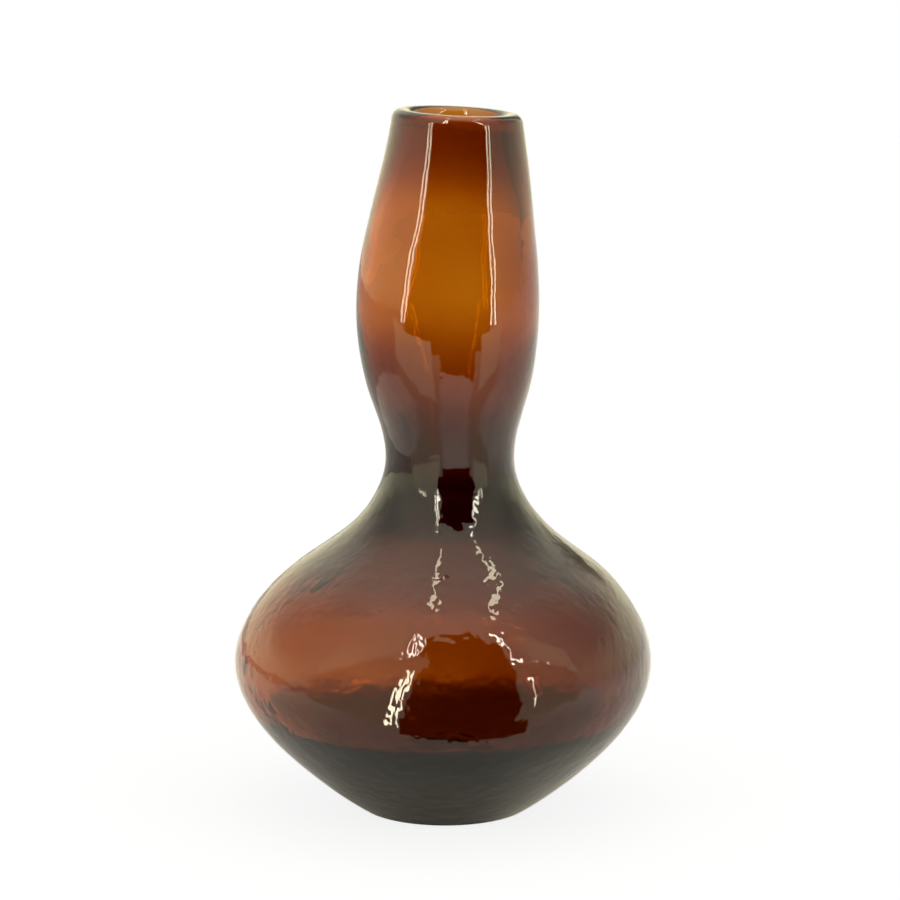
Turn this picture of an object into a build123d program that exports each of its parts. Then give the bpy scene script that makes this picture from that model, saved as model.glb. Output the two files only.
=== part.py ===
from build123d import *
import math
import os

# Gourd vase: a free-blown double-gourd vessel of heavy cased glass, standing on z = 0 with its mouth up.
# One thick wall is made of two layers of glass: a brown casing outside and an amber lining inside.
# Sizes are in millimetres. The belly is centred on the z axis and the neck leans towards +x.

# Outer outline, from the foot up: how far each station stands above the one below it, and its radius
foot_radius = 36.8
underside_rise = 24.0
underside_radius = 67.3
belly_rise = 41.0
belly_radius = 91.2
shoulder_rise = 35.0
shoulder_radius = 73.9
collar_rise = 27.5
collar_radius = 40.4
waist_rise = 24.0
waist_radius = 28.2
swell_rise = 34.5
swell_radius = 35.1
bulb_rise = 35.0
bulb_radius = 39.4
throat_rise = 40.0
throat_radius = 35.1
lip_rise = 44.0
lip_radius = 27.6

# How the outline leaves the foot and reaches the lip: degrees up from level at the foot, degrees in from
# upright at the lip, and how far each end holds its direction
foot_slope = 31.98
foot_hold = 0.8345
lip_lean = 7.42
lip_hold = 0.9857

# How far the vessel's middle drifts to +x of the belly's, and how far the mouth tips that way in degrees
foot_drift = 0.9
waist_drift = 3.1
bulb_drift = 2.0
lip_drift = 6.3
lip_tilt = 2.9

# How far the inside lies to -x of the outside, which leaves the wall thinner on that side
belly_bias = 1.5
bulb_bias = 0.3

# Thickness of the brown casing, square to the wall. The neck is midway from collar to waist, and the hip
# lies under the belly, where the thin wall begins to thicken towards the foot.
hip_drop = 22.0
casing_at_foot = 11.0
casing_at_underside = 11.5
casing_at_hip = 3.2
casing_at_belly = 3.1
casing_at_shoulder = 3.8
casing_at_collar = 7.6
casing_at_neck = 10.5
casing_at_waist = 7.6
casing_at_swell = 4.0
casing_at_bulb = 1.7
casing_at_throat = 1.9
casing_at_rim = 4.5
casing_at_lip = 2.0

# Thickness of the amber lining, square to the wall
lining_at_foot = 6.0
lining_at_hip = 4.2
lining_at_belly = 4.0
lining_at_waist = 5.0
lining_at_bulb = 4.0
lining_at_throat = 4.0
lining_at_rim = 5.0
lining_at_lip = 6.6

# Fire-polished lip with the thick rim under it, rounded floor and heel, and the hollow ground under the foot
lip_round = 4.0
rim_drop = 6.0
floor_round = 14.0
heel_round = 2.0
hollow_radius = 30.0
hollow_depth = 2.5

# How many spans of the outline each skin is drawn through, and how far the inner skins are drawn past the
# mouth and past the floor they are cut level at
spans = 30
reach = 6.0

underside_height = underside_rise
belly_height = underside_height + belly_rise
hip_height = belly_height - hip_drop
shoulder_height = belly_height + shoulder_rise
collar_height = shoulder_height + collar_rise
waist_height = collar_height + waist_rise
neck_height = (collar_height + waist_height) / 2
swell_height = waist_height + swell_rise
bulb_height = swell_height + bulb_rise
throat_height = bulb_height + throat_rise
lip_height = throat_height + lip_rise
rim_height = lip_height - rim_drop

foot_run = Vector(1, 0).rotate(Axis.Z, foot_slope)
lip_run = Vector(0, 1).rotate(Axis.Z, lip_lean)
outline = Spline(
    (foot_radius, 0),
    (underside_radius, underside_height),
    (belly_radius, belly_height),
    (shoulder_radius, shoulder_height),
    (collar_radius, collar_height),
    (waist_radius, waist_height),
    (swell_radius, swell_height),
    (bulb_radius, bulb_height),
    (throat_radius, throat_height),
    (lip_radius, lip_height),
    tangents=[foot_run, lip_run],
    tangent_scalars=[foot_hold, lip_hold],
)

casing_stations = [
    (0, casing_at_foot),
    (underside_height, casing_at_underside),
    (hip_height, casing_at_hip),
    (belly_height, casing_at_belly),
    (shoulder_height, casing_at_shoulder),
    (collar_height, casing_at_collar),
    (neck_height, casing_at_neck),
    (waist_height, casing_at_waist),
    (swell_height, casing_at_swell),
    (bulb_height, casing_at_bulb),
    (throat_height, casing_at_throat),
    (rim_height, casing_at_rim),
    (lip_height, casing_at_lip),
]
lining_stations = [
    (0, lining_at_foot),
    (hip_height, lining_at_hip),
    (belly_height, lining_at_belly),
    (waist_height, lining_at_waist),
    (bulb_height, lining_at_bulb),
    (throat_height, lining_at_throat),
    (rim_height, lining_at_rim),
    (lip_height, lining_at_lip),
]
drift_stations = [
    (0, foot_drift),
    (belly_height, 0),
    (waist_height, waist_drift),
    (bulb_height, bulb_drift),
    (lip_height, lip_drift),
]
bias_stations = [
    (0, 0),
    (belly_height, belly_bias),
    (waist_height, 0),
    (bulb_height, bulb_bias),
    (lip_height, 0),
]
tilt_stations = [(bulb_height, 0), (lip_height, lip_tilt)]


def along(height, stations):
    """A value that eases from station to station up the vessel."""
    for (low, start), (high, end) in zip(stations, stations[1:]):
        if height <= high:
            share = max(0.0, (height - low) / (high - low))
            return start + (end - start) * (1 - math.cos(math.pi * share)) / 2
    return stations[-1][1]


def casing(height):
    return along(height, casing_stations)


def whole_wall(height):
    return casing(height) + along(height, lining_stations)


def ring(radius, height, bias):
    """One circle of a skin, drifted and tipped as the blown vessel is at that height."""
    middle = along(height, drift_stations) - bias
    return Pos(middle, 0, height) * Rot(0, along(height, tilt_stations), 0) * Circle(radius)


def outer_skin():
    """The solid inside the outer outline."""
    places = [outline @ (step / spans) for step in range(spans + 1)]
    return loft([ring(place.X, place.Y, 0) for place in places])


def inner_skin(depth):
    """The solid inside a skin depth(height) under the outline, open past the mouth, round at its floor."""
    points = []
    for step in range(spans + 1):
        place = outline @ (step / spans)
        run = outline % (step / spans)
        points.append(place + Vector(-run.Y, run.X) * depth(place.Y))
    floor_height = points[0].Y
    points.insert(0, points[0] - foot_run * reach)
    points.append(points[-1] + Vector(0, reach))
    body = loft([ring(point.X, point.Y, along(point.Y, bias_stations)) for point in points])
    body = split(body, Plane.XY.offset(floor_height), keep=Keep.TOP)
    return fillet(body.faces().sort_by(Axis.Z)[0].edges(), floor_round)


def blown_wall():
    """The whole wall: outer skin less the hollow, with its lip and heel rounded and its foot ground."""
    wall = outer_skin() - inner_skin(whole_wall)
    wall = fillet(wall.faces().sort_by(Axis.Z)[-1].edges(), lip_round)
    wall = fillet(wall.faces().sort_by(Axis.Z)[0].edges(), heel_round)
    dish_radius = (hollow_radius**2 + hollow_depth**2) / (2 * hollow_depth)
    return wall - Pos(foot_drift, 0, hollow_depth - dish_radius) * Sphere(dish_radius)


os.makedirs("parts", exist_ok=True)
wall = blown_wall()
core = inner_skin(casing)
export_step(wall - core, "parts/outer_casing.step")
export_step(wall & core, "parts/inner_lining.step")
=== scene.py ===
# %% [markdown]
# # A gourd vase of cased glass
# The real vase is one blown wall made of two glasses: a brown casing outside and an amber lining inside.
# Painted surfaces could copy its colours, but only for one light and one view. Here the wall is clear
# glass that takes colour out of light, so what is seen depends on how far light travels through it.

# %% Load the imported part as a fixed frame
import math
import bpy
import numpy as np
from mathutils import Matrix, Vector, noise
from mathutils.bvhtree import BVHTree


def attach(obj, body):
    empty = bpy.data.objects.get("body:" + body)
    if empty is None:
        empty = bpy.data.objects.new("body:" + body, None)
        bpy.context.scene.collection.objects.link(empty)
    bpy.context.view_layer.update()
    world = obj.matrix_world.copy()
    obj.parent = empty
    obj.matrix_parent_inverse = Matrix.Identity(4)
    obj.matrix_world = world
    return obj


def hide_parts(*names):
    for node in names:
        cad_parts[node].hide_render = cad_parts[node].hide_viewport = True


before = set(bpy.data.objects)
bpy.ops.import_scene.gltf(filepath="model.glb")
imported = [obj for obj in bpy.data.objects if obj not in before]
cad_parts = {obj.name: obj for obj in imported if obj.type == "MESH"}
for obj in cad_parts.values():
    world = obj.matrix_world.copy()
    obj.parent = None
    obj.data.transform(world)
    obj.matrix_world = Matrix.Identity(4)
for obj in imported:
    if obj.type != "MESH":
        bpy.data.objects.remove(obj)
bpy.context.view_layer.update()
scene = bpy.context.scene
mm = 0.001
print("solids:", sorted(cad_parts))

# %% [markdown]
# ## The camera
# The vase is seen through a long lens from a little above its mouth, so its sides hardly converge.

# %% Camera
camera_place = Vector((0.9, -1500.0, 439.1)) * mm
camera_aim = Vector((3.1, 0.0, 158.1)) * mm
sensor_width = 36.0
lens_length = 140.8
camera = bpy.data.objects.new("camera", bpy.data.cameras.new("camera"))
camera.data.sensor_width = sensor_width
camera.data.lens = lens_length
camera.location = camera_place
camera.rotation_euler = (camera_aim - camera_place).to_track_quat("-Z", "Y").to_euler()
scene.collection.objects.link(camera)
scene.camera = camera
print("camera stands", round((camera_aim - camera_place).length, 3), "m from the vase")

# %% [markdown]
# ## The outline
# A glass-blower shapes the vase by turning it, so one outline from foot to lip says nearly everything.
# It could be a Bezier curve drawn by hand. A smooth curve through ten stations is used instead, because
# the solid model was drawn through the same stations, and the glass has to lie where the solids are.

# %% Outline stations from foot to lip, each with its height and radius in millimetres
stations = {
    "foot": (0.0, 36.8),
    "underside": (24.0, 67.3),
    "belly": (65.0, 91.2),
    "shoulder": (100.0, 73.9),
    "collar": (127.5, 40.4),
    "waist": (151.5, 28.2),
    "swell": (186.0, 35.1),
    "bulb": (221.0, 39.4),
    "throat": (261.0, 35.1),
    "lip": (305.0, 27.6),
}
hip_drop = 22.0
rim_drop = 6.0
heights = {name: height for name, (height, radius) in stations.items()}
heights["neck"] = (heights["collar"] + heights["waist"]) / 2
heights["hip"] = heights["belly"] - hip_drop
heights["rim"] = heights["lip"] - rim_drop
lip_height = heights["lip"]
print("vase is", lip_height, "mm tall and drawn through", len(stations), "stations")

# %% Slopes of a smooth curve through the stations
station_places = np.array([(radius, height) for height, radius in stations.values()])
station_steps = np.linalg.norm(np.diff(station_places, axis=0), axis=1)
station_knots = np.concatenate([[0.0], np.cumsum(station_steps)])


def end_slope(knots, points, at):
    """The slope at one end of a run of four points, from the cubic that passes through them."""
    slopes = []
    for values in points.T:
        cubic = np.polyfit(knots, values, len(knots) - 1)
        slopes.append(np.polyval(np.polyder(cubic), at))
    return slopes


def curve_slopes(points, steps, knots):
    """The slopes at all points that let a cubic curve through them bend without a break."""
    chords = np.diff(points, axis=0) / steps[:, None]
    last = len(points) - 1
    left = np.eye(last + 1)
    right = np.zeros_like(points)
    right[0] = end_slope(knots[:4], points[:4], knots[0])
    right[last] = end_slope(knots[-4:], points[-4:], knots[-1])
    for i in range(1, last):
        before = steps[i - 1]
        after = steps[i]
        left[i, i - 1:i + 2] = after, 2 * (before + after), before
        right[i] = 3 * (after * chords[i - 1] + before * chords[i])
    return np.linalg.solve(left, right)


station_slopes = curve_slopes(station_places, station_steps, station_knots)
print("stations lie", round(station_steps.min(), 1), "to", round(station_steps.max(), 1), "mm apart")

# %% The outline as many points, with its direction at each
outline_points = 4000


def smooth_curve(count):
    """Points and unit directions along the cubic curve through the stations."""
    where = np.linspace(0.0, station_knots[-1], count)
    span = np.clip(np.searchsorted(station_knots, where) - 1, 0, len(station_steps) - 1)
    width = station_steps[span][:, None]
    t = (where - station_knots[span])[:, None] / width
    start, end = station_places[span], station_places[span + 1]
    leave, arrive = station_slopes[span] * width, station_slopes[span + 1] * width
    places = (
        (2 * t**3 - 3 * t**2 + 1) * start
        + (t**3 - 2 * t**2 + t) * leave
        + (3 * t**2 - 2 * t**3) * end
        + (t**3 - t**2) * arrive
    )
    runs = (
        (6 * t**2 - 6 * t) * (start - end)
        + (3 * t**2 - 4 * t + 1) * leave
        + (3 * t**2 - 2 * t) * arrive
    )
    return places, runs / np.linalg.norm(runs, axis=1)[:, None]


outline, outline_run = smooth_curve(outline_points)
inward = np.stack([-outline_run[:, 1], outline_run[:, 0]], axis=1)
print("outline is widest at", round(outline[:, 0].max(), 1), "mm from the axis")

# %% [markdown]
# ## The wall
# Blown glass is never even: it stays thick where it was worked least, at the foot, the waist and the lip.
# A Solidify modifier gives one thickness all over. Here each layer has its own thickness at each station
# and eases from one to the next, and so do the lean of the neck and the place of the hollow.

# %% Layer thickness, lean and unevenness by station, in millimetres and degrees
casing_wall = {
    "foot": 11.0,
    "underside": 11.5,
    "hip": 3.2,
    "belly": 3.1,
    "shoulder": 3.8,
    "collar": 7.6,
    "neck": 10.5,
    "waist": 7.6,
    "swell": 4.0,
    "bulb": 1.7,
    "throat": 1.9,
    "rim": 4.5,
    "lip": 2.0,
}
lining_wall = {
    "foot": 6.0,
    "hip": 4.2,
    "belly": 4.0,
    "waist": 5.0,
    "bulb": 4.0,
    "throat": 4.0,
    "rim": 5.0,
    "lip": 6.6,
}
drift = {"foot": 0.9, "belly": 0.0, "waist": 3.1, "bulb": 2.0, "lip": 6.3}
tilt = {"bulb": 0.0, "lip": 2.9}
bias = {"foot": 0.0, "belly": 1.5, "waist": 0.0, "bulb": 0.3, "lip": 0.0}
print("mouth stands", drift["lip"], "mm to the right and is tipped by", tilt["lip"], "degrees")

# %% Skins of the wall: outside, both faces of the bond between the layers, and the hollow
bond_gap = 0.05


def along(height, values):
    """A value that eases from station to station up the vase."""
    count = len(values)
    share = np.interp(height, [heights[name] for name in values], range(count))
    low = np.minimum(share.astype(int), count - 2)
    smooth = low + (1 - np.cos(math.pi * (share - low))) / 2
    return np.interp(smooth, range(count), list(values.values()))


def skin(depth):
    """The outline sunk by a depth that may change with height."""
    return outline + inward * np.broadcast_to(depth, len(outline))[:, None]


casing_depth = along(outline[:, 1], casing_wall)
wall_depth = casing_depth + along(outline[:, 1], lining_wall)
outer_skin = skin(0.0)
casing_bond = skin(casing_depth - bond_gap)
lining_bond = skin(casing_depth + bond_gap)
hollow_skin = skin(wall_depth)
print("wall is", round(wall_depth.min(), 1), "to", round(wall_depth.max(), 1), "mm thick")

# %% [markdown]
# ## Rounded ends
# A lip is melted round in the fire, and the floor inside is a soft bowl. A Bevel modifier could round the
# finished mesh. An arc that touches a skin and a level plane is exact, and one helper finds them all.

# %% Arcs where a skin meets a level plane
lip_round = 4.0
heel_round = 2.0
arc_points = 12


def rounded(points, plane, radius, side, below):
    """The index where the arc leaves the skin, and the arc from there to the plane.

    side is 1 where the arc's middle lies inward of the skin, and below says that the plane is under it.
    """
    middles = points + side * radius * inward
    target = plane + radius if below else plane - radius
    misses = np.abs(middles[:, 1] - target)
    half = len(points) // 2
    index = np.argmin(misses[:half]) if below else half + np.argmin(misses[half:])
    away = -side * inward[index]
    start = math.atan2(away[1], away[0])
    end = -math.pi / 2 if below else math.pi / 2
    if start - end > math.pi:
        start -= 2 * math.pi
    if end - start > math.pi:
        start += 2 * math.pi
    angles = np.linspace(start, end, arc_points)
    arc = middles[index] + radius * np.stack([np.cos(angles), np.sin(angles)], axis=1)
    return index, arc


heel_start, heel_arc = rounded(outer_skin, 0.0, heel_round, 1, True)
lip_start, lip_arc = rounded(outer_skin, lip_height, lip_round, 1, False)
mouth_start, mouth_arc = rounded(hollow_skin, lip_height, lip_round, -1, False)
print("lip is rounded from", round(outer_skin[lip_start, 1], 1), "mm up")

# %% The hollow ground under the foot, and the floors of the inner skins
floor_round = 14.0
floor_points = 8
hollow_radius = 30.0
hollow_depth = 2.5
hollow_points = 16


def ground_hollow():
    """The shallow hollow under the foot, a piece of a large ball, from its middle to its rim."""
    radius = np.linspace(0.0, hollow_radius, hollow_points)
    ball = (hollow_radius**2 + hollow_depth**2) / (2 * hollow_depth)
    return np.stack([radius, hollow_depth - ball + np.sqrt(ball**2 - radius**2)], axis=1)


def floor_of(points):
    """The index where a skin leaves its floor, and the level floor and its round from the axis outward."""
    plane = points[0, 1]
    start, arc = rounded(points, plane, floor_round, 1, True)
    level = np.linspace(0.0, arc[-1, 0], floor_points)
    flat = np.stack([level, np.full(floor_points, plane)], axis=1)
    return start, np.concatenate([flat[:-1], arc[::-1]])


bond_start, bond_floor = floor_of(casing_bond)
seat_start, seat_floor = floor_of(lining_bond)
base_start, base_floor = floor_of(hollow_skin)
print("floor inside lies", round(base_floor[0, 1], 1), "mm above the foot")

# %% [markdown]
# ## Sections
# The two layers are closed bodies of glass, each turned from its own section like a pot on a wheel.
# A section runs from the axis round to the axis again. Each run of it says whether it lies on the bond
# between the layers, because fused glass doesn't bend light there.

# %% Section of the brown casing
outer_spacing = 1.7
inner_spacing = 3.0


def thinned(points, spacing):
    """A run of points spaced evenly along their length."""
    steps = np.linalg.norm(np.diff(points, axis=0), axis=1)
    lengths = np.concatenate([[0], np.cumsum(steps)])
    count = max(2, round(lengths[-1] / spacing) + 1)
    places = np.linspace(0, lengths[-1], count)
    return np.stack([np.interp(places, lengths, points[:, k]) for k in (0, 1)], axis=1)


def lip_meeting(points):
    """Where a skin between the layers comes out through the rounded lip, and the skin up to there."""
    top = np.interp(points[:, 0], lip_arc[::-1, 0], lip_arc[::-1, 1])
    half = len(points) // 2
    last = half + np.argmax(points[half:, 1] > top[half:])
    return points[:last], np.array([[points[last, 0], top[last]]])


bond_side, bond_top = lip_meeting(casing_bond)
casing_section = [
    (ground_hollow(), False),
    (heel_arc[::-1], False),
    (thinned(outer_skin[heel_start:lip_start], outer_spacing)[1:-1], False),
    (lip_arc[lip_arc[:, 0] > bond_top[0, 0]], False),
    (bond_top, True),
    (thinned(bond_side[bond_start:], inner_spacing)[::-1][1:], True),
    (bond_floor[::-1][1:], True),
]
print("casing's section has", sum(len(run) for run, bonded in casing_section), "points")

# %% Section of the amber lining
seat_side, seat_top = lip_meeting(lining_bond)
lining_section = [
    (seat_floor, True),
    (thinned(seat_side[seat_start:], inner_spacing)[1:-1], True),
    (seat_top, True),
    (lip_arc[lip_arc[:, 0] < seat_top[0, 0]], False),
    (mouth_arc[::-1], False),
    (thinned(hollow_skin[base_start:mouth_start], outer_spacing)[::-1][1:-1], False),
    (base_floor[::-1], False),
]
print("lining's section has", sum(len(run) for run, bonded in lining_section), "points")

# %% [markdown]
# ## Turning the sections
# The Screw modifier turns a section about a straight axis. This neck leans and its mouth is tipped, so
# each ring of points is placed in code. Both meshes are closed, because light loses colour by the
# distance that it travels inside a closed mesh.

# %% Points and faces of a turned section
turn_steps = 256


def turned_points(profile, within):
    """Rings of points about the vase's leaning middle, with a single point at each end of the section.

    within says for each ring whether it lies on an inner skin, which sits a little off the middle.
    """
    angle = np.arange(turn_steps) * 2 * math.pi / turn_steps
    radius = profile[:, :1]
    height = profile[:, 1:]
    middle = along(height, drift) - along(height, bias) * within[:, None]
    tip = np.radians(along(height, tilt))
    across = radius * np.cos(angle)
    places = [middle + across * np.cos(tip), radius * np.sin(angle), height - across * np.sin(tip)]
    rings = np.stack(places, axis=2)
    return np.concatenate([rings[0, :1], rings[1:-1].reshape(-1, 3), rings[-1, :1]]) * mm


def turned_faces(ring_count):
    """Faces with four corners between the rings, closed by a fan of triangles at each end."""
    last = 1 + ring_count * turn_steps
    faces = []
    for row in range(ring_count + 1):
        low = 1 + (row - 1) * turn_steps
        high = low + turn_steps
        for j in range(turn_steps):
            k = (j + 1) % turn_steps
            if row == 0:
                faces.append((0, high + k, high + j))
            elif row == ring_count:
                faces.append((low + j, low + k, last))
            else:
                faces.append((low + j, low + k, high + k, high + j))
    return faces


print("a ring has", turn_steps, "points")

# %% Rings where the shading breaks
sharp_turn = math.radians(35)


def mark_sharp_rings(mesh, profile):
    """Marks the rings where the section turns a corner, so that shading breaks there."""
    run = np.diff(profile, axis=0)
    heading = np.unwrap(np.arctan2(run[:, 1], run[:, 0]))
    corners = np.abs(np.diff(heading)) > sharp_turn
    edges = np.zeros(len(mesh.edges) * 2, int)
    mesh.edges.foreach_get("vertices", edges)
    ring = (edges.reshape(-1, 2) - 1) // turn_steps
    inside = (edges.reshape(-1, 2) >= 1) & (ring < len(corners))
    same = (ring[:, 0] == ring[:, 1]) & inside.all(axis=1)
    sharp = same & corners[np.clip(ring[:, 0], 0, len(corners) - 1)]
    attribute = mesh.attributes.new("sharp_edge", "BOOLEAN", "EDGE")
    attribute.data.foreach_set("value", sharp)


print("shading breaks where a section turns by over", round(math.degrees(sharp_turn)), "degrees")


# %% The two layers as closed meshes
def turned(name, section, hollow):
    """A closed mesh turned from a section. hollow says that all of it lies on the inner skins."""
    profile = np.concatenate([run for run, bonded in section])
    bonds = np.concatenate([[bonded] * len(run) for run, bonded in section])
    points = turned_points(profile, bonds | hollow)
    faces = turned_faces(len(profile) - 2)
    mesh = bpy.data.meshes.new(name)
    mesh.from_pydata(points.tolist(), [], faces)
    mesh.polygons.foreach_set("use_smooth", [True] * len(faces))
    face_bonds = np.repeat(bonds[:-1] & bonds[1:], turn_steps)
    bond = mesh.attributes.new("bond", "FLOAT", "FACE")
    bond.data.foreach_set("value", face_bonds.astype(np.float32))
    mark_sharp_rings(mesh, profile)
    mesh.validate()
    piece = bpy.data.objects.new(name, mesh)
    scene.collection.objects.link(piece)
    print(name, "has", len(points), "points and", len(faces), "faces")
    return piece


casing = turned("brown_casing", casing_section, False)
lining = turned("amber_lining", lining_section, True)

# %% [markdown]
# ## Hand-blown wobble
# No free-blown wall is a true circle. A slow wobble of a few tenths of a millimetre bends the reflections.
# A bump in the material could fake it, but the wobble then stays out of the outline and of the mesh, so
# the points themselves move. Only the two skins that the air touches do, by far less than the thickness.

# %% Wobble of the outer skin and of the hollow
wobbles = ((26.0 * mm, 0.30 * mm), (9.0 * mm, 0.07 * mm))
still_above = 0.97
fade_rate = 12.0


def wobble(piece):
    """Moves the exposed skin in and out by slow noise, least at the foot and the lip."""
    mesh = piece.data
    bonded = set()
    for face, value in zip(mesh.polygons, mesh.attributes["bond"].data):
        if value.value > 0.5:
            bonded.update(face.vertices)
    normals = [normal.vector.copy() for normal in mesh.vertex_normals]
    places = [vertex.co.copy() for vertex in mesh.vertices]
    moved = 0.0
    for index, place in enumerate(places):
        if index in bonded:
            continue
        height = place.z / (lip_height * mm)
        fade = min(1.0, fade_rate * height) * min(1.0, fade_rate * max(0.0, still_above - height))
        step = fade * sum(depth * noise.noise(place / length) for length, depth in wobbles)
        places[index] = place + normals[index] * step
        moved = max(moved, abs(step))
    mesh.vertices.foreach_set("co", np.array(places).ravel())
    mesh.update()
    print(piece.name, "wobbles by up to", round(moved / mm, 2), "mm")


wobble(casing)
wobble(lining)

# %% How close the glass stays to the solids that it stands for
stands_for = ((casing, "outer_casing", "casing"), (lining, "inner_lining", "lining"))
for piece, node, slot in stands_for:
    surface = BVHTree.FromObject(piece, bpy.context.evaluated_depsgraph_get())
    misses = [surface.find_nearest(vertex.co)[3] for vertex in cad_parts[node].data.vertices]
    print(node, "differs by", round(max(misses) / mm, 2), "mm at most")

# %% [markdown]
# ## Shader nodes
# Materials and the world are both node trees, and most of their nodes only do sums. Wiring them one by
# one takes many lines, so four small helpers add a node, do a sum, multiply and ease between two values.


# %% Small helpers for node trees
def add(tree, kind, values=None, **settings):
    """A node with its settings, and values for inputs by name or place."""
    made = tree.nodes.new(kind)
    for key, value in settings.items():
        setattr(made, key, value)
    for key, value in (values or {}).items():
        if isinstance(value, bpy.types.NodeSocket):
            tree.links.new(value, made.inputs[key])
        else:
            made.inputs[key].default_value = value
    return made


def math_node(tree, operation, *values):
    """The result of a Math node on numbers or sockets."""
    made = add(tree, "ShaderNodeMath", dict(enumerate(values)), operation=operation)
    return made.outputs[0]


def product(tree, first, *others):
    """The product of several numbers or sockets."""
    result = first
    for other in others:
        result = math_node(tree, "MULTIPLY", result, other)
    return result


def eased(tree, value, span, before, after):
    """A value that goes smoothly from before to after while the input crosses a span."""
    made = add(
        tree,
        "ShaderNodeMapRange",
        {"Value": value, "From Min": span[0], "From Max": span[1], "To Min": before, "To Max": after},
        interpolation_type="SMOOTHSTEP",
    )
    return made.outputs["Result"]


print("helpers:", ", ".join(helper.__name__ for helper in (add, math_node, product, eased)))

# %% [markdown]
# ## Ripple
# Hot glass that is paddled into shape keeps fine ripples. On the belly and the collar they break the
# bright lines that the glass mirrors into squiggles, and the bulb above is smoother. Moving points this
# fine would take millions of faces, so the ripple is a height for a Bump node. Both glasses use it, so
# it is one node group, placed in each with its own values.

# %% Ripple of a blown surface, shared by both glasses
ripple_detail = 1.0


def ripple_group():
    """A height that is full up to Fade From on the vase and goes down to a least share at Fade To."""
    group = bpy.data.node_groups.new("blown_ripple", "ShaderNodeTree")
    for name in ("Scale", "Fade From", "Fade To", "Least"):
        group.interface.new_socket(name, in_out="INPUT", socket_type="NodeSocketFloat")
    group.interface.new_socket("Height", in_out="OUTPUT", socket_type="NodeSocketFloat")
    given = add(group, "NodeGroupInput").outputs
    place = add(group, "ShaderNodeTexCoord").outputs["Object"]
    hammer = add(
        group,
        "ShaderNodeTexNoise",
        {"Vector": place, "Scale": given["Scale"], "Detail": ripple_detail},
    )
    above = add(group, "ShaderNodeSeparateXYZ", {"Vector": place}).outputs["Z"]
    share = eased(group, above, (given["Fade From"], given["Fade To"]), 1.0, given["Least"])
    add(group, "NodeGroupOutput", {"Height": product(group, hammer.outputs["Fac"], share)})
    return group


blown_ripple = ripple_group()
print("ripple group has", len(blown_ripple.nodes), "nodes")

# %% [markdown]
# ## Glass
# Cased glass has no colour on its surface. The Principled shader makes it clear, with mirror-like gloss,
# and a plain Volume Absorption takes blue and green out of the light on its way through. A coloured
# surface would tint thick and thin glass alike. Where the layers are fused, the index is 1, as in no
# glass at all, because light goes straight on from one layer into the other.


# %% Ripple and colour of a glass
def ripple_onto(tree, shader, scale, least, depth):
    """Lays the blown ripple on a shader's surface, at its full depth up to the collar."""
    ripple = add(
        tree,
        "ShaderNodeGroup",
        {
            "Scale": scale,
            "Fade From": heights["collar"] * mm,
            "Fade To": heights["throat"] * mm,
            "Least": least,
        },
        node_tree=blown_ripple,
    )
    bump = add(
        tree,
        "ShaderNodeBump",
        {"Height": ripple.outputs["Height"], "Distance": depth, "Strength": 1.0},
    )
    tree.links.new(bump.outputs["Normal"], shader.inputs["Normal"])


def absorb(tree, absorbed):
    """Takes red, green and blue out of the light inside by these amounts in each millimetre."""
    strongest = max(absorbed)
    tint = [1 - value / strongest for value in absorbed]
    volume = add(tree, "ShaderNodeVolumeAbsorption")
    volume.inputs["Color"].default_value = (*tint, 1.0)
    volume.inputs["Density"].default_value = strongest / mm
    tree.links.new(volume.outputs["Volume"], tree.nodes["Material Output"].inputs["Volume"])


print("ripple fades from", heights["collar"], "to", heights["throat"], "mm up")

# %% The two glasses
glass_index = 1.5
clear_white = (1.0, 1.0, 1.0, 1.0)


def glass(name, absorbed, scale, least, depth):
    """Clear glossy glass with a colour inside it and a ripple on it."""
    material = bpy.data.materials.new(name)
    material.use_nodes = True
    tree = material.node_tree
    shader = tree.nodes["Principled BSDF"]
    shader.inputs["Base Color"].default_value = clear_white
    shader.inputs["Roughness"].default_value = 0.0
    shader.inputs["Transmission Weight"].default_value = 1.0
    bond = add(tree, "ShaderNodeAttribute", attribute_name="bond")
    index = math_node(tree, "MULTIPLY_ADD", bond.outputs["Fac"], 1.0 - glass_index, glass_index)
    tree.links.new(index, shader.inputs["IOR"])
    ripple_onto(tree, shader, scale, least, depth)
    absorb(tree, absorbed)
    print(name, "absorbs", absorbed, "in each millimetre")
    return material


brown_glass = glass("brown_glass", (0.23, 0.37, 0.55), scale=190.0, least=0.15, depth=0.24 * mm)
amber_glass = glass("amber_glass", (0.0125, 0.123, 0.556), scale=120.0, least=0.4, depth=0.2 * mm)
casing.data.materials.append(brown_glass)
lining.data.materials.append(amber_glass)

# %% Take the solids' place
for piece, node, slot in stands_for:
    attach(piece, "root")
    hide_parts(node)
    print(piece.name, "stands for", node)

# %% [markdown]
# ## The studio
# Glass shows its surroundings more than itself, so the studio matters as much as the material. The vase
# stands in a white light tent that is open towards the camera, which is why a tall dark window edged by
# bright lines stands on the glass. A picture of a studio wrapped round the scene could give the same.
# A world made of nodes needs no picture: each direction gets its brightness from a few formulas.

# %% World: directions as seen from the vase
world = bpy.data.worlds.new("light_tent")
scene.world = world
world.use_nodes = True
sky = world.node_tree
sky_place = add(sky, "ShaderNodeTexCoord").outputs["Generated"]
sky_axes = add(sky, "ShaderNodeSeparateXYZ", {"Vector": sky_place}).outputs
right = sky_axes["X"]
up = sky_axes["Z"]
forward = math_node(sky, "MULTIPLY", sky_axes["Y"], -1.0)
turn = math_node(sky, "ARCTAN2", right, forward)
rise = math_node(sky, "ARCSINE", up)
print("world", world.name, "has", len(sky.nodes), "nodes so far")

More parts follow.
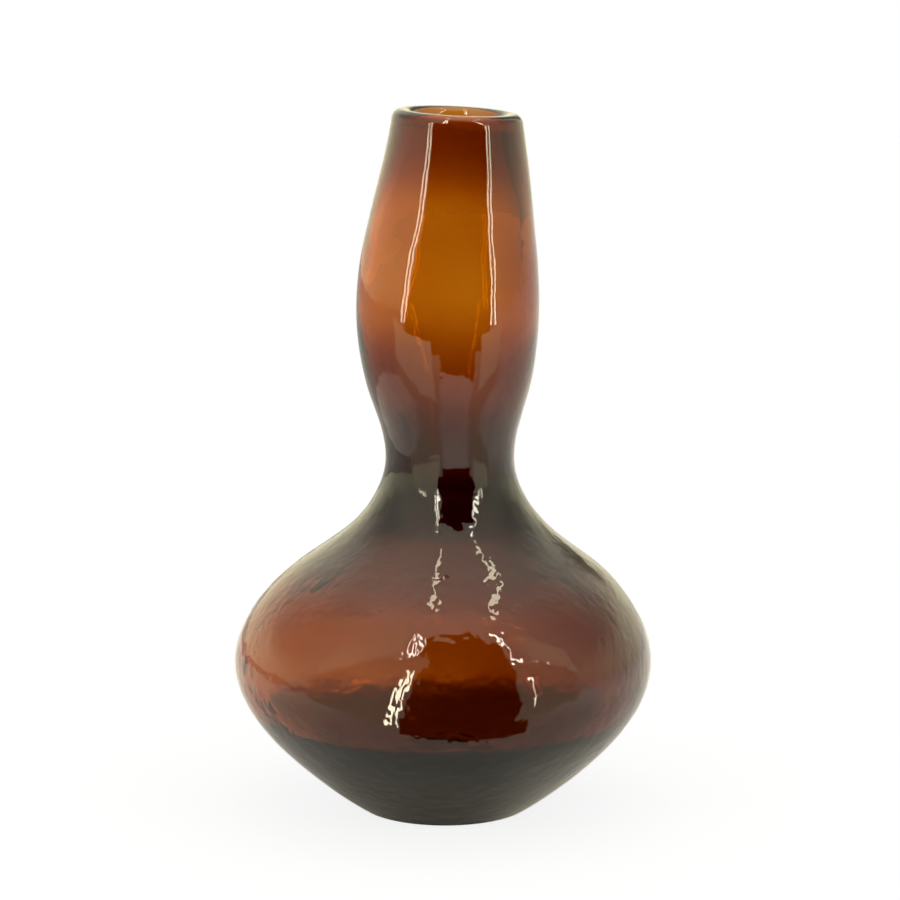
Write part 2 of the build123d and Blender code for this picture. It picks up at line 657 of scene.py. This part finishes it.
# %% World: the tent's dark opening, which leans in as it rises and steps in above the camera
gap_angle = math.radians(55)
gap_left_high = math.radians(-42)
gap_right_high = math.radians(50)
lean_span = (math.radians(-8), math.radians(14))
narrow_left = math.radians(-15)
narrow_right = math.radians(44)
narrow_span = (math.radians(19), math.radians(22))
gap_top = math.radians(63)
gap_shoulder = math.radians(27)
gap_slope = 0.8


def gap_side(low, high, narrow):
    """The bearing of one side of the opening: low at its foot, high further up and narrow at its top."""
    leaning = eased(sky, rise, lean_span, low, high)
    stepped = eased(sky, rise, narrow_span, 0.0, narrow - high)
    return math_node(sky, "ADD", leaning, stepped)


past_left = math_node(sky, "GREATER_THAN", turn, gap_side(-gap_angle, gap_left_high, narrow_left))
before_right = math_node(sky, "LESS_THAN", turn, gap_side(gap_angle, gap_right_high, narrow_right))
aside = math_node(sky, "SUBTRACT", math_node(sky, "ABSOLUTE", turn), gap_shoulder)
cut_corner = math_node(sky, "MULTIPLY", math_node(sky, "MAXIMUM", aside, 0.0), gap_slope)
under_top = math_node(sky, "LESS_THAN", math_node(sky, "ADD", rise, cut_corner), gap_top)
opening = product(sky, under_top, past_left, before_right)
print("opening is", round(math.degrees(2 * gap_angle)), "degrees wide at its foot")

# %% World: brightness of the tent's cloth. Spans are parts of a unit direction: up, right or forward
wall_span = (-0.3, 0.1)
wall_low = 0.8
wall_high = 1.35
right_falloff = -0.15
side_span = (0.45, 0.8)
side_dimming = 0.2
side_up_span = (0.15, 0.4)
side_depth_span = (0.2, -0.3)
side_front = 0.4
side_back = 2.0
back_span = (0.1, -0.6)
back_gain = 1.08
top_span = (0.8, 0.97)
top_gain = 1.22


def one_less(share):
    """What a share leaves of the whole."""
    return math_node(sky, "SUBTRACT", 1.0, share)


cloth = math_node(sky, "MULTIPLY_ADD", right, right_falloff, eased(sky, up, wall_span, wall_low, wall_high))
side_shade = product(
    sky,
    eased(sky, math_node(sky, "ABSOLUTE", right), side_span, 0.0, side_dimming),
    eased(sky, up, side_up_span, 0.0, 1.0),
    eased(sky, forward, side_depth_span, side_front, side_back),
)
cloth = product(
    sky,
    cloth,
    one_less(side_shade),
    eased(sky, forward, back_span, 1.0, back_gain),
    eased(sky, up, top_span, 1.0, top_gain),
)
print("tent's cloth goes from", wall_low, "below to", wall_high, "above")

# %% World: a dim fold at the back on the right, the opening and three bright seams
fold_in_span = (0.05, 0.3)
fold_out_span = (0.34, 0.54)
fold_dimming = 0.8
fold_depth_span = (-0.5, -0.7)
fold_up_span = (0.08, 0.2)
seam_bearings = (math.radians(-19), math.radians(-24), math.radians(48))
seam_half_width = math.radians(1.0)
seam_middle = 0.72
seam_half_height = 0.36
line_level = 26.0
fold = product(
    sky,
    eased(sky, right, fold_in_span, 0.0, fold_dimming),
    eased(sky, right, fold_out_span, 1.0, 0.0),
    eased(sky, forward, fold_depth_span, 0.0, 1.0),
    eased(sky, up, fold_up_span, 0.0, 1.0),
)
cloth = product(sky, cloth, one_less(fold), one_less(opening))
seam_part = math_node(sky, "COMPARE", rise, seam_middle, seam_half_height)
for bearing in seam_bearings:
    seam = math_node(sky, "COMPARE", turn, bearing, seam_half_width)
    cloth = math_node(sky, "MULTIPLY_ADD", product(sky, seam, seam_part), line_level, cloth)
print("seams stand at", [round(math.degrees(bearing)) for bearing in seam_bearings], "degrees")

# %% [markdown]
# Only rays that the gloss mirrors see the tent. The camera sees plain white. Rays that pass through the
# glass see a white that is brighter on the left than on the right, as the glow in the real glass is.

# %% World: the tent for mirrored rays, and white for all others
tent_colour = (1.0, 0.93, 0.66, 1.0)
high_colour = (1.0, 0.93, 0.74, 1.0)
tint_span = (0.2, 0.5)
backlight_slant = -0.8


def mirror_rays(tree):
    """The Light Path of a tree, and a mask of the rays that were mirrored and not let through."""
    path = add(tree, "ShaderNodeLightPath").outputs
    return path, math_node(tree, "SUBTRACT", path["Is Glossy Ray"], path["Is Transmission Ray"])


sky_path, sky_mirrored = mirror_rays(sky)
to_the_right = product(sky, right, sky_path["Is Transmission Ray"])
backlight = math_node(sky, "MULTIPLY_ADD", to_the_right, backlight_slant, 1.0)
tint = add(
    sky,
    "ShaderNodeMix",
    {"Factor": eased(sky, up, tint_span, 0.0, 1.0), "A": tent_colour, "B": high_colour},
    data_type="RGBA",
)
tent = add(sky, "ShaderNodeBackground", {"Color": tint.outputs["Result"], "Strength": cloth})
plain = sky.nodes["Background"]
plain.inputs["Color"].default_value = clear_white
sky.links.new(backlight, plain.inputs["Strength"])
sky_mix = add(sky, "ShaderNodeMixShader", {0: sky_mirrored, 1: plain.outputs[0], 2: tent.outputs[0]})
sky.links.new(sky_mix.outputs[0], sky.nodes["World Output"].inputs["Surface"])
print("world", world.name, "has", len(sky.nodes), "nodes")

# %% [markdown]
# ## Lamps
# Two pairs of upright strips stand at the sides of the opening and draw the double bright lines on the
# neck. Two more strips overhead light the shoulder. Lines in the world would do for mirrored rays alone.
# Area lamps also light the floor and show through the glass.

# %% Strip lamps at the sides of the opening
strip_distance = 800.0
strip_foot = 100.0
strip_top = 540.0
strip_width = 28.0
strip_spread = 0.085
strip_level = 13.0
strip_sides = (("left", -gap_angle, gap_left_high), ("right", gap_angle, gap_right_high))


def panel(name, low, high, width, level, facing):
    """A flat lamp about the line from low to high, in millimetres, of an even brightness where 1 is white."""
    run = (high - low) * mm
    upward = run.normalized()
    back = -(facing - upward * upward.dot(facing)).normalized()
    light = bpy.data.lights.new(name, "AREA")
    light.shape = "RECTANGLE"
    light.size = width * mm
    light.size_y = run.length
    light.energy = level * math.pi * light.size * light.size_y
    light.color = tent_colour[:3]
    made = bpy.data.objects.new(name, light)
    made.location = (low + high) / 2 * mm
    made.rotation_euler = Matrix((upward.cross(back), upward, back)).transposed().to_euler()
    made.visible_camera = False
    scene.collection.objects.link(made)
    print(name, "is", round(run.length, 2), "m long")


def strip_end(bearing, spread, height):
    """A place in front of the vase, at a bearing that is turned outward by a spread."""
    outer = bearing + math.copysign(spread, bearing)
    return Vector((strip_distance * math.sin(outer), -strip_distance * math.cos(outer), height))


for side, low_bearing, high_bearing in strip_sides:
    for pair, spread in (("inner", 0.0), ("outer", strip_spread)):
        low = strip_end(low_bearing, spread, strip_foot)
        high = strip_end(high_bearing, spread, strip_top)
        facing = Vector((-high.x, -high.y, 0.0))
        panel(f"{side}_{pair}_strip", low, high, strip_width, strip_level, facing)

# %% Strip lamps overhead
overhead_height = 1600.0
overhead_reach = 250.0
overhead_width = 60.0
overhead_level = 9.0
for side, across in (("left", -110.0), ("right", 520.0)):
    low = Vector((across, -overhead_reach, overhead_height))
    high = Vector((across, overhead_reach, overhead_height))
    panel(f"{side}_top_strip", low, high, overhead_width, overhead_level, Vector((0.0, 0.0, -1.0)))

# %% [markdown]
# ## Screens
# White screens stand just in front of the vase, beside the opening, to fill the gloss of the belly and the
# collar. Thin bright lines before them break into squiggles on the ripple. The tent is too far off for
# this, because the belly and the collar mirror what is near and low. The screens glow on the side that
# faces the vase, let light pass from the other side and are seen by mirrored rays alone.

# %% Screens that only the gloss shows
screen_distance = 150.0
screen_span = (0.0, 158.0)
screen_level = 1.0


def screen_material(name, level, seen_from):
    """An even white that shows on one side only, and only from nearer than a given distance."""
    material = bpy.data.materials.new(name)
    material.use_nodes = True
    tree = material.node_tree
    tree.nodes.remove(tree.nodes["Principled BSDF"])
    glow = add(tree, "ShaderNodeEmission", {"Color": tent_colour, "Strength": level})
    clear = add(tree, "ShaderNodeBsdfTransparent")
    side = add(tree, "ShaderNodeNewGeometry")
    path = add(tree, "ShaderNodeLightPath")
    distant = math_node(tree, "GREATER_THAN", path.outputs["Ray Length"], seen_from)
    unseen = math_node(tree, "MAXIMUM", side.outputs["Backfacing"], distant)
    mix = add(tree, "ShaderNodeMixShader", {0: unseen, 1: glow.outputs[0], 2: clear.outputs[0]})
    tree.links.new(mix.outputs[0], tree.nodes["Material Output"].inputs["Surface"])
    return material


def screen(name, low, high, distance, span, level, seen_from=1.0):
    """An upright screen that reaches from low[0] to low[1] at its foot and high[0] to high[1] at its top."""
    corners = [(low[1], span[0]), (low[0], span[0]), (high[0], span[1]), (high[1], span[1])]
    mesh = bpy.data.meshes.new(name)
    mesh.from_pydata([(x * mm, -distance * mm, z * mm) for x, z in corners], [], [(0, 1, 2, 3)])
    mesh.materials.append(screen_material(name, level, seen_from))
    made = bpy.data.objects.new(name, mesh)
    made.visible_camera = False
    made.visible_diffuse = False
    made.visible_transmission = False
    made.visible_shadow = False
    scene.collection.objects.link(made)
    print(name, "stands", distance, "mm in front")


screen("left_screen", (-400.0, -46.0), (-400.0, -18.0), screen_distance, screen_span, screen_level)
screen("right_screen", (96.0, 400.0), (92.5, 400.0), screen_distance, screen_span, screen_level)

# %% Brighter cards for the collar
card_distance = 108.0
card_span = (120.0, 190.0)
card_level = 1.7
for name, reach in (("left_card", (-250.0, -30.0)), ("right_card", (84.0, 250.0))):
    screen(name, reach, reach, card_distance, card_span, card_level)

# %% Bright lines for the belly and the shoulder
line_half_width = 2.0
line_distance = 149.0
line_span = (0.0, 130.0)
line_seen_from = 0.11
for name, low, high in (
    ("left_line_1", -54.0, -32.0),
    ("left_line_2", -63.0, -40.0),
    ("right_line_1", 122.0, 112.0),
    ("right_line_2", 134.0, 123.0),
):
    foot_reach = (low - line_half_width, low + line_half_width)
    top_reach = (high - line_half_width, high + line_half_width)
    screen(name, foot_reach, top_reach, line_distance, line_span, line_level, line_seen_from)

# %% [markdown]
# ## The floor
# A pale table top. To the camera, and through the glass, it is lifted to white, and only the vase's own
# shadow stays on it. For the gloss, light and shade are painted on it: a cream glow that is painted
# brighter further out and near the foot on the right, and painted shade where the tent's opening starts
# and where the belly would hide it from the light. A plain white plane would fill the dark window on the
# belly, so the floor's material asks where a mirrored ray meets it.

# %% Floor: mesh
floor_size = 6.0
half = floor_size / 2
floor_corners = [(-half, -half, 0.0), (half, -half, 0.0), (half, half, 0.0), (-half, half, 0.0)]
floor_mesh = bpy.data.meshes.new("floor")
floor_mesh.from_pydata(floor_corners, [], [(0, 1, 2, 3)])
floor = bpy.data.objects.new("floor", floor_mesh)
scene.collection.objects.link(floor)
print("floor is", floor_size, "m wide")

# %% Floor: where a ray meets it, and whether it began low or high on the vase
belly_reach = 0.06
belly_top_square = 0.012
neck_reach = 0.034
neck_foot_square = 0.036
pale = bpy.data.materials.new("pale_floor")
pale.use_nodes = True
floor_mesh.materials.append(pale)
table = pale.node_tree
table.nodes.remove(table.nodes["Principled BSDF"])
table_path, table_mirrored = mirror_rays(table)
table_place = add(table, "ShaderNodeTexCoord").outputs["Object"]
table_axes = add(table, "ShaderNodeSeparateXYZ", {"Vector": table_place}).outputs
across = table_axes["X"]
ahead = table_axes["Y"]
across_square = product(table, across, across)
distance = math_node(table, "SQRT", math_node(table, "MULTIPLY_ADD", ahead, ahead, across_square))
sine = math_node(table, "DIVIDE", across, distance)


def start_square(radius):
    """The height at which a ray began, squared, if it began at this distance from the axis."""
    whole = math_node(table, "POWER", table_path["Ray Length"], 2.0)
    level = math_node(table, "POWER", math_node(table, "SUBTRACT", distance, radius), 2.0)
    return math_node(table, "SUBTRACT", whole, level)


from_low = math_node(table, "LESS_THAN", start_square(belly_reach), belly_top_square)
from_high = math_node(table, "GREATER_THAN", start_square(neck_reach), neck_foot_square)
print("material", pale.name, "has", len(table.nodes), "nodes so far")

# %% Floor: painted shade that only mirrored rays see. Lines are a slope and a start, in metres
front_line = (0.19, -0.121)
left_line = (0.293, -0.0024)
right_line = (-0.877, -0.0132)
high_edge = 0.40
high_edge_slant = -0.06
low_edge = 0.78
edge_span = (-0.2, 0.5)
left_painted_shade = 0.45
right_painted_shade = 0.1
# Painted shadow: the floor in front of the belly, where the belly hides it from the light, is painted dark
# for rays that began low on the vase.
belly_painted_shadow = product(
    table,
    math_node(table, "LESS_THAN", ahead, math_node(table, "MULTIPLY_ADD", across, *front_line)),
    math_node(table, "GREATER_THAN", across, math_node(table, "MULTIPLY_ADD", ahead, *left_line)),
    math_node(table, "LESS_THAN", across, math_node(table, "MULTIPLY_ADD", ahead, *right_line)),
    from_low,
)
edge_for_high = math_node(table, "MULTIPLY_ADD", sine, high_edge_slant, high_edge)
edge_shift = math_node(table, "SUBTRACT", edge_for_high, low_edge)
table_edge = math_node(table, "MULTIPLY_ADD", edge_shift, from_high, low_edge)
beyond = math_node(table, "GREATER_THAN", distance, table_edge)
# Painted shade: beyond the table's edge and within the opening's bearings, the floor is painted dark in place
# of the tent's opening.
gap_half = math_node(table, "MULTIPLY", ahead, -math.tan(gap_angle))
gap_painted_shade = product(
    table,
    math_node(table, "LESS_THAN", ahead, 0.0),
    beyond,
    math_node(table, "LESS_THAN", math_node(table, "ABSOLUTE", across), gap_half),
)
# Painted shade beyond the table's edge at the sides, deeper on the left than on the right.
off_table_painted_shade = product(table, beyond, eased(table, sine, edge_span, left_painted_shade, right_painted_shade))
# All the painted shade together, seen by mirrored rays alone.
painted_shade = math_node(table, "MAXIMUM", belly_painted_shadow, math_node(table, "MAXIMUM", gap_painted_shade, off_table_painted_shade))
painted_shade = product(table, painted_shade, table_mirrored)
print("table ends", high_edge, "m from the vase for the neck and", low_edge, "m for the belly")

# %% Floor: paint, which takes the shadow and is darker where the glow is added
table_tone = (0.92, 0.88, 0.78)
seen_tone = 0.15
seen = math_node(table, "MAXIMUM", table_path["Is Camera Ray"], table_path["Is Transmission Ray"])
tone = add(table, "ShaderNodeCombineXYZ")
for axis, level in zip("XYZ", table_tone):
    table.links.new(math_node(table, "MULTIPLY_ADD", seen, seen_tone - level, level), tone.inputs[axis])
paint = add(table, "ShaderNodeBsdfDiffuse", {"Color": tone.outputs[0]})
print("paint is", table_tone, "and", seen_tone, "where it is seen")

# %% Floor: glow that lifts it to white, and painted cream light where it is mirrored
seen_lift = 0.85
cream = (1.0, 0.92, 0.7, 1.0)
outer_span = (0.12, 0.3)
painted_outer_level = 0.35
beside_span = (0.3, 0.8)
painted_side_level = 0.2
foot_span = (0.07, 0.11)
# Painted light for mirrored rays: the floor glows more further out from the vase, and a little near the foot
# on the right side.
painted_side_light = product(
    table,
    eased(table, sine, beside_span, 0.0, painted_side_level),
    eased(table, distance, foot_span, 1.0, 0.0),
)
outward = math_node(table, "ADD", eased(table, distance, outer_span, 0.0, painted_outer_level), painted_side_light)
outward = product(table, outward, table_mirrored)
glow_tint = add(
    table,
    "ShaderNodeMix",
    {"Factor": table_mirrored, "A": clear_white, "B": cream},
    data_type="RGBA",
)
glow_level = math_node(table, "MULTIPLY_ADD", seen, seen_lift, outward)
glow = add(table, "ShaderNodeEmission", {"Color": glow_tint.outputs["Result"], "Strength": glow_level})
print("glow adds", seen_lift, "where the floor is seen and up to", painted_outer_level, "where it is mirrored")

# %% Floor: paint and glow together, cut by the painted shade
black = (0.0, 0.0, 0.0, 1.0)
lit = add(table, "ShaderNodeAddShader", {0: paint.outputs[0], 1: glow.outputs[0]})
# Painted shade: a black that takes the floor's place where the painted shade mask is set.
painted_black = add(table, "ShaderNodeEmission", {"Color": black, "Strength": 0.0})
top_mix = add(table, "ShaderNodeMixShader", {0: painted_shade, 1: lit.outputs[0], 2: painted_black.outputs[0]})
table.links.new(top_mix.outputs[0], table.nodes["Material Output"].inputs["Surface"])
print("material", pale.name, "has", len(table.nodes), "nodes")

# %% [markdown]
# ## Finish
# The view transform is plain, so colours come out as written.

# %% Finish
scene.view_settings.view_transform = "Standard"
